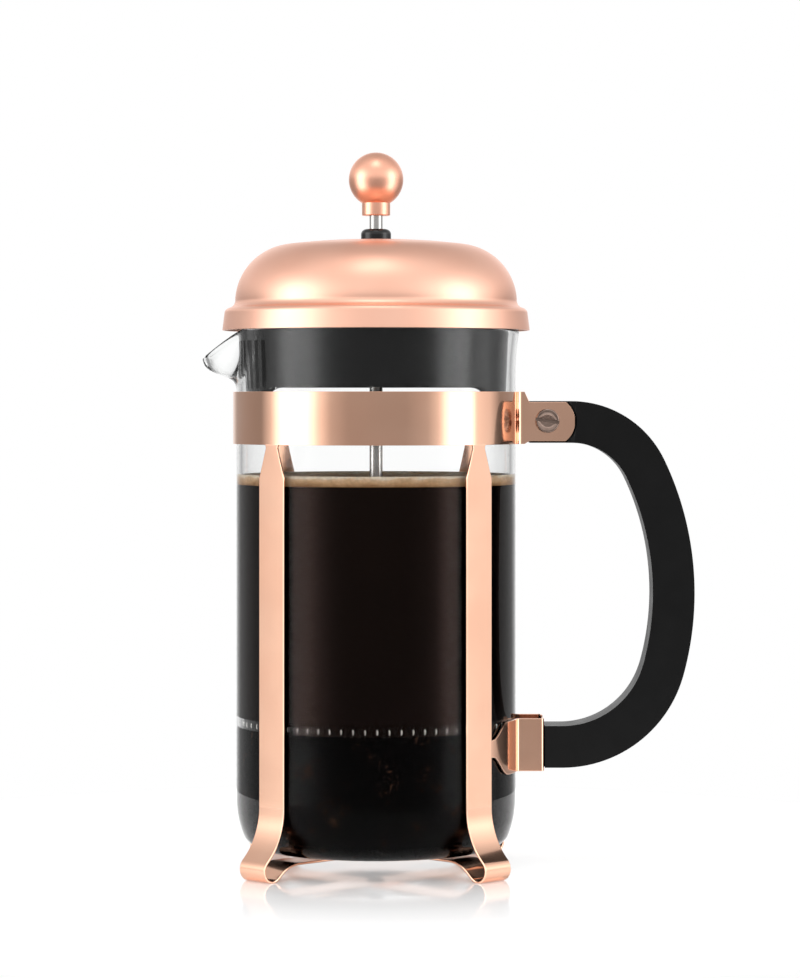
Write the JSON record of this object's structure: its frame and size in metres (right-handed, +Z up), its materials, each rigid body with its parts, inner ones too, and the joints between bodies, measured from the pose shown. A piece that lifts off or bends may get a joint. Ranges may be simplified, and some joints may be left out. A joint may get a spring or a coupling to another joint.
{
  "type": "french press",
  "caption": "Glass coffee press in a copper-plated frame with a D handle, a domed strainer lid and a plunger with a ball knob and a spring-sealed filter.",
  "frame": {"origin": "on the beaker's axis, in the plane that the four feet stand on", "axes": "+Z up along the beaker's axis, +X towards the handle, -X towards the pouring spout, -Y towards the clamp screw's head"},
  "size_m": [0.1678, 0.1052, 0.2444],
  "materials": {
    "copper_plate": "semi-polished rose copper plating on steel sheet",
    "bare_steel": "bright stainless",
    "handle_plastic": "matte black",
    "lid_plastic": "satin black",
    "beaker_glass": "clear borosilicate"
  },
  "bodies": {
    "frame": {"collar_band": "copper_plate", "front_right_strap": "copper_plate", "rear_right_strap": "copper_plate", "base_rivet": "bare_steel", "handle": "handle_plastic", "clamp_screw": "bare_steel", "clamp_nut": "bare_steel"},
    "beaker": {"glass_beaker": "beaker_glass"},
    "lid_guide": {"lid_bush": "lid_plastic", "lock_ring": "lid_plastic"},
    "lid": {"lid_dome": "copper_plate", "lid_insert": "lid_plastic"},
    "plunger": {"knob_ball": "copper_plate", "knob_collar": "copper_plate", "plunger_rod": "bare_steel", "rod_stop": "bare_steel", "spiral_plate": "bare_steel", "rim_spring": "bare_steel", "filter_mesh": "bare_steel", "cross_plate": "bare_steel", "threaded_hub": "bare_steel"}
  },
  "joints": [
    {"name": "beaker_lift", "type": "slide", "parent": "frame", "child": "beaker", "axis": [0, 0, 1], "range_m": [0, 0.165]},
    {"name": "lid_lift", "type": "slide", "parent": "beaker", "child": "lid_guide", "axis": [0, 0, 1], "range_m": [0, 0.15]},
    {"name": "lid_turn", "type": "hinge", "parent": "lid_guide", "child": "lid", "pos_m": [0, 0, 0.19], "axis": [0, 0, 1], "continuous": true},
    {"name": "plunger_slide", "type": "slide", "parent": "lid_guide", "child": "plunger", "axis": [0, 0, 1], "range_m": [-0.0042, 0.1]}
  ]
}
